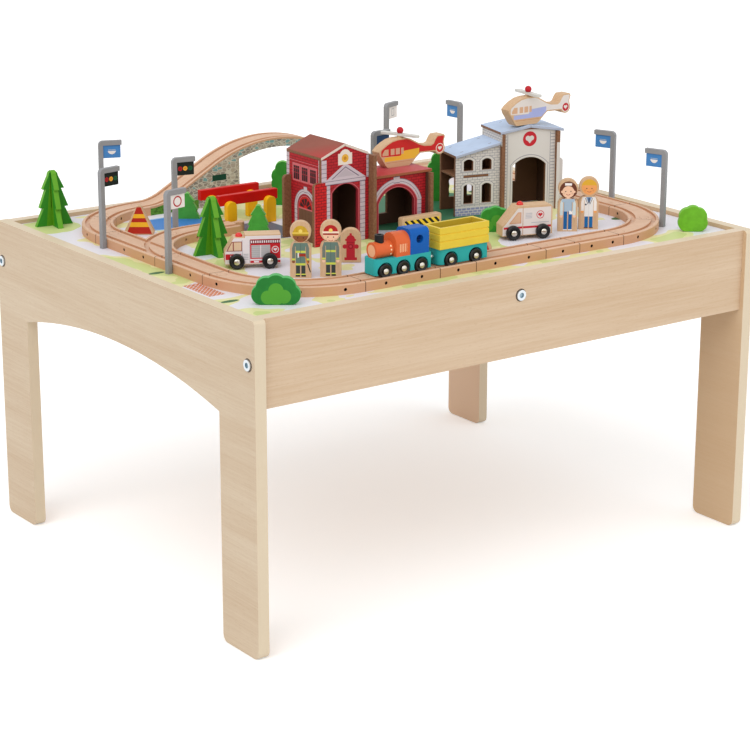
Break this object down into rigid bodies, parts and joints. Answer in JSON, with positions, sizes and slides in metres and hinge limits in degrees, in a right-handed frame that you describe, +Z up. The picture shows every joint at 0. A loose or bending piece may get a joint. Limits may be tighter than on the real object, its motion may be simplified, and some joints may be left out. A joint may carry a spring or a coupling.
{
  "type": "train table",
  "caption": "Low wooden play table on arched end panels, with a railway loop, bridge, magnet-coupled train, road vehicles, helicopters, buildings, signs and figures.",
  "frame": {"origin": "middle of the table's footprint on the floor", "axes": "+X along the long side to the right as seen from the front, +Y to the back, +Z up"},
  "size_m": [0.764, 0.612, 0.5599],
  "materials": {
    "beech": "clear lacquered beech plywood",
    "printed_board": "printed hardboard, matt",
    "track_wood": "bare beech, fine grain",
    "stone_print": "wood with printed stone sides",
    "zinc_steel": "zinc plated",
    "yellow_paint": "painted wood, satin",
    "red_paint": "painted wood, satin",
    "teal_paint": "painted wood, satin",
    "orange_paint": "painted wood, satin",
    "blue_paint": "painted wood, satin",
    "black_paint": "painted wood, satin",
    "black_wheel": "moulded plastic, matt",
    "magnet_steel": "nickel plated",
    "truck_print": "painted and printed wood",
    "ambulance_print": "painted and printed wood",
    "heli_red": "painted and printed wood",
    "heli_white": "painted and printed wood",
    "rotor_grey": "painted wood",
    "brick_print": "printed fibreboard",
    "roof_red": "painted fibreboard",
    "hospital_print": "printed fibreboard",
    "roof_blue": "painted fibreboard",
    "post_grey": "moulded plastic, satin",
    "sign_print": "printed plastic",
    "leaf_green": "painted wood",
    "figure_print": "printed wood",
    "cone_print": "printed wood",
    "block_print": "printed wood"
  },
  "bodies": {
    "table": {"end_panel_left": "beech", "end_panel_right": "beech", "front_apron": "beech", "back_apron": "beech", "play_board": "printed_board", "cross_rail": "beech", "board_cleats": "beech", "connecting_bolts": "zinc_steel", "barrel_nuts": "zinc_steel", "straight_tracks": "track_wood", "curved_tracks": "track_wood", "switch_track": "track_wood", "ramp_tracks": "stone_print", "crown_track": "stone_print", "guard_rail_posts": "yellow_paint", "guard_rail_beams": "red_paint", "red_helicopter_body": "heli_red", "white_helicopter_body": "heli_white", "rotor_caps": "red_paint", "station_front_panels": "brick_print", "station_side_walls": "brick_print", "station_back_panels": "brick_print", "station_tower_roof": "roof_red", "station_garage_roof": "roof_red", "hospital_front_panels": "hospital_print", "hospital_side_walls": "hospital_print", "hospital_back_panels": "hospital_print", "hospital_tower_roof": "roof_blue", "hospital_wing_roof": "roof_blue", "sign_posts": "post_grey", "sign_panels": "sign_print", "pine_trees": "leaf_green", "flat_trees": "leaf_green", "bushes": "leaf_green", "figures": "figure_print", "traffic_cones": "cone_print", "street_blocks": "block_print"},
    "engine": {"loco_chassis": "teal_paint", "loco_boiler": "orange_paint", "loco_cab": "blue_paint", "loco_chimney": "black_paint", "loco_magnet": "magnet_steel"},
    "engine_front_wheels": {"loco_wheelset_front": "black_wheel"},
    "engine_middle_wheels": {"loco_wheelset_middle": "black_wheel"},
    "engine_rear_wheels": {"loco_wheelset_rear": "black_wheel"},
    "wagon": {"wagon_chassis": "teal_paint", "wagon_box": "yellow_paint", "wagon_magnets": "magnet_steel"},
    "wagon_front_wheels": {"wagon_wheelset_front": "black_wheel"},
    "wagon_rear_wheels": {"wagon_wheelset_rear": "black_wheel"},
    "fire_truck": {"fire_truck_body": "truck_print", "fire_truck_beacon": "red_paint"},
    "fire_truck_front_wheels": {"fire_truck_wheelset_front": "black_wheel"},
    "fire_truck_rear_wheels": {"fire_truck_wheelset_rear": "black_wheel"},
    "ambulance": {"ambulance_body": "ambulance_print", "ambulance_beacon": "red_paint"},
    "ambulance_front_wheels": {"ambulance_wheelset_front": "black_wheel"},
    "ambulance_rear_wheels": {"ambulance_wheelset_rear": "black_wheel"},
    "red_rotor": {"red_helicopter_rotor": "rotor_grey"},
    "white_rotor": {"white_helicopter_rotor": "rotor_grey"}
  },
  "joints": [
    {"name": "engine_roll", "type": "slide", "parent": "table", "child": "engine", "axis": [1, 0, 0], "range_m": [-0.03, 0.19]},
    {"name": "wagon_roll", "type": "slide", "parent": "table", "child": "wagon", "axis": [1, 0, 0], "range_m": [-0.03, 0.19]},
    {"name": "engine_front_axle", "type": "hinge", "parent": "engine", "child": "engine_front_wheels", "pos_m": [-0.1615, -0.235, 0.4131], "axis": [0, 1, 0], "continuous": true},
    {"name": "engine_middle_axle", "type": "hinge", "parent": "engine", "child": "engine_middle_wheels", "pos_m": [-0.1355, -0.235, 0.4131], "axis": [0, 1, 0], "continuous": true},
    {"name": "engine_rear_axle", "type": "hinge", "parent": "engine", "child": "engine_rear_wheels", "pos_m": [-0.1095, -0.235, 0.4131], "axis": [0, 1, 0], "continuous": true},
    {"name": "wagon_front_axle", "type": "hinge", "parent": "wagon", "child": "wagon_front_wheels", "pos_m": [-0.0657, -0.235, 0.4131], "axis": [0, 1, 0], "continuous": true},
    {"name": "wagon_rear_axle", "type": "hinge", "parent": "wagon", "child": "wagon_rear_wheels", "pos_m": [-0.0287, -0.235, 0.4131], "axis": [0, 1, 0], "continuous": true},
    {"name": "fire_truck_roll", "type": "slide", "parent": "table", "child": "fire_truck", "axis": [-0.8829, 0.4695, 0], "range_m": [-0.03, 0.012]},
    {"name": "fire_truck_front_axle", "type": "hinge", "parent": "fire_truck", "child": "fire_truck_front_wheels", "pos_m": [-0.25145, -0.06867, 0.40455], "axis": [-0.4695, -0.8829, 0], "continuous": true},
    {"name": "fire_truck_rear_axle", "type": "hinge", "parent": "fire_truck", "child": "fire_truck_rear_wheels", "pos_m": [-0.21657, -0.08721, 0.40455], "axis": [-0.4695, -0.8829, 0], "continuous": true},
    {"name": "ambulance_roll", "type": "slide", "parent": "table", "child": "ambulance", "axis": [-0.9511, 0.309, 0], "range_m": [-0.01, 0.03]},
    {"name": "ambulance_front_axle", "type": "hinge", "parent": "ambulance", "child": "ambulance_front_wheels", "pos_m": [0.10901, -0.14388, 0.40455], "axis": [-0.309, -0.9511, 0], "continuous": true},
    {"name": "ambulance_rear_axle", "type": "hinge", "parent": "ambulance", "child": "ambulance_rear_wheels", "pos_m": [0.14705, -0.15624, 0.40455], "axis": [-0.309, -0.9511, 0], "continuous": true},
    {"name": "red_rotor_spin", "type": "hinge", "parent": "table", "child": "red_rotor", "pos_m": [0.04615, 0.00394, 0.5117], "axis": [0, 0, 1], "continuous": true},
    {"name": "white_rotor_spin", "type": "hinge", "parent": "table", "child": "white_rotor", "pos_m": [0.23488, -0.02389, 0.5502], "axis": [0, 0, 1], "continuous": true}
  ],
  "couplings": [
    {"joint": "wagon_roll", "follows": "engine_roll", "ratio": 1},
    {"joint": "engine_front_axle", "follows": "engine_roll", "rad_per_m": 113.64},
    {"joint": "engine_middle_axle", "follows": "engine_roll", "rad_per_m": 113.64},
    {"joint": "engine_rear_axle", "follows": "engine_roll", "rad_per_m": 113.64},
    {"joint": "wagon_front_axle", "follows": "engine_roll", "rad_per_m": 113.64},
    {"joint": "wagon_rear_axle", "follows": "engine_roll", "rad_per_m": 113.64},
    {"joint": "fire_truck_front_axle", "follows": "fire_truck_roll", "rad_per_m": 108.11},
    {"joint": "fire_truck_rear_axle", "follows": "fire_truck_roll", "rad_per_m": 108.11},
    {"joint": "ambulance_front_axle", "follows": "ambulance_roll", "rad_per_m": 108.11},
    {"joint": "ambulance_rear_axle", "follows": "ambulance_roll", "rad_per_m": 108.11}
  ]
}
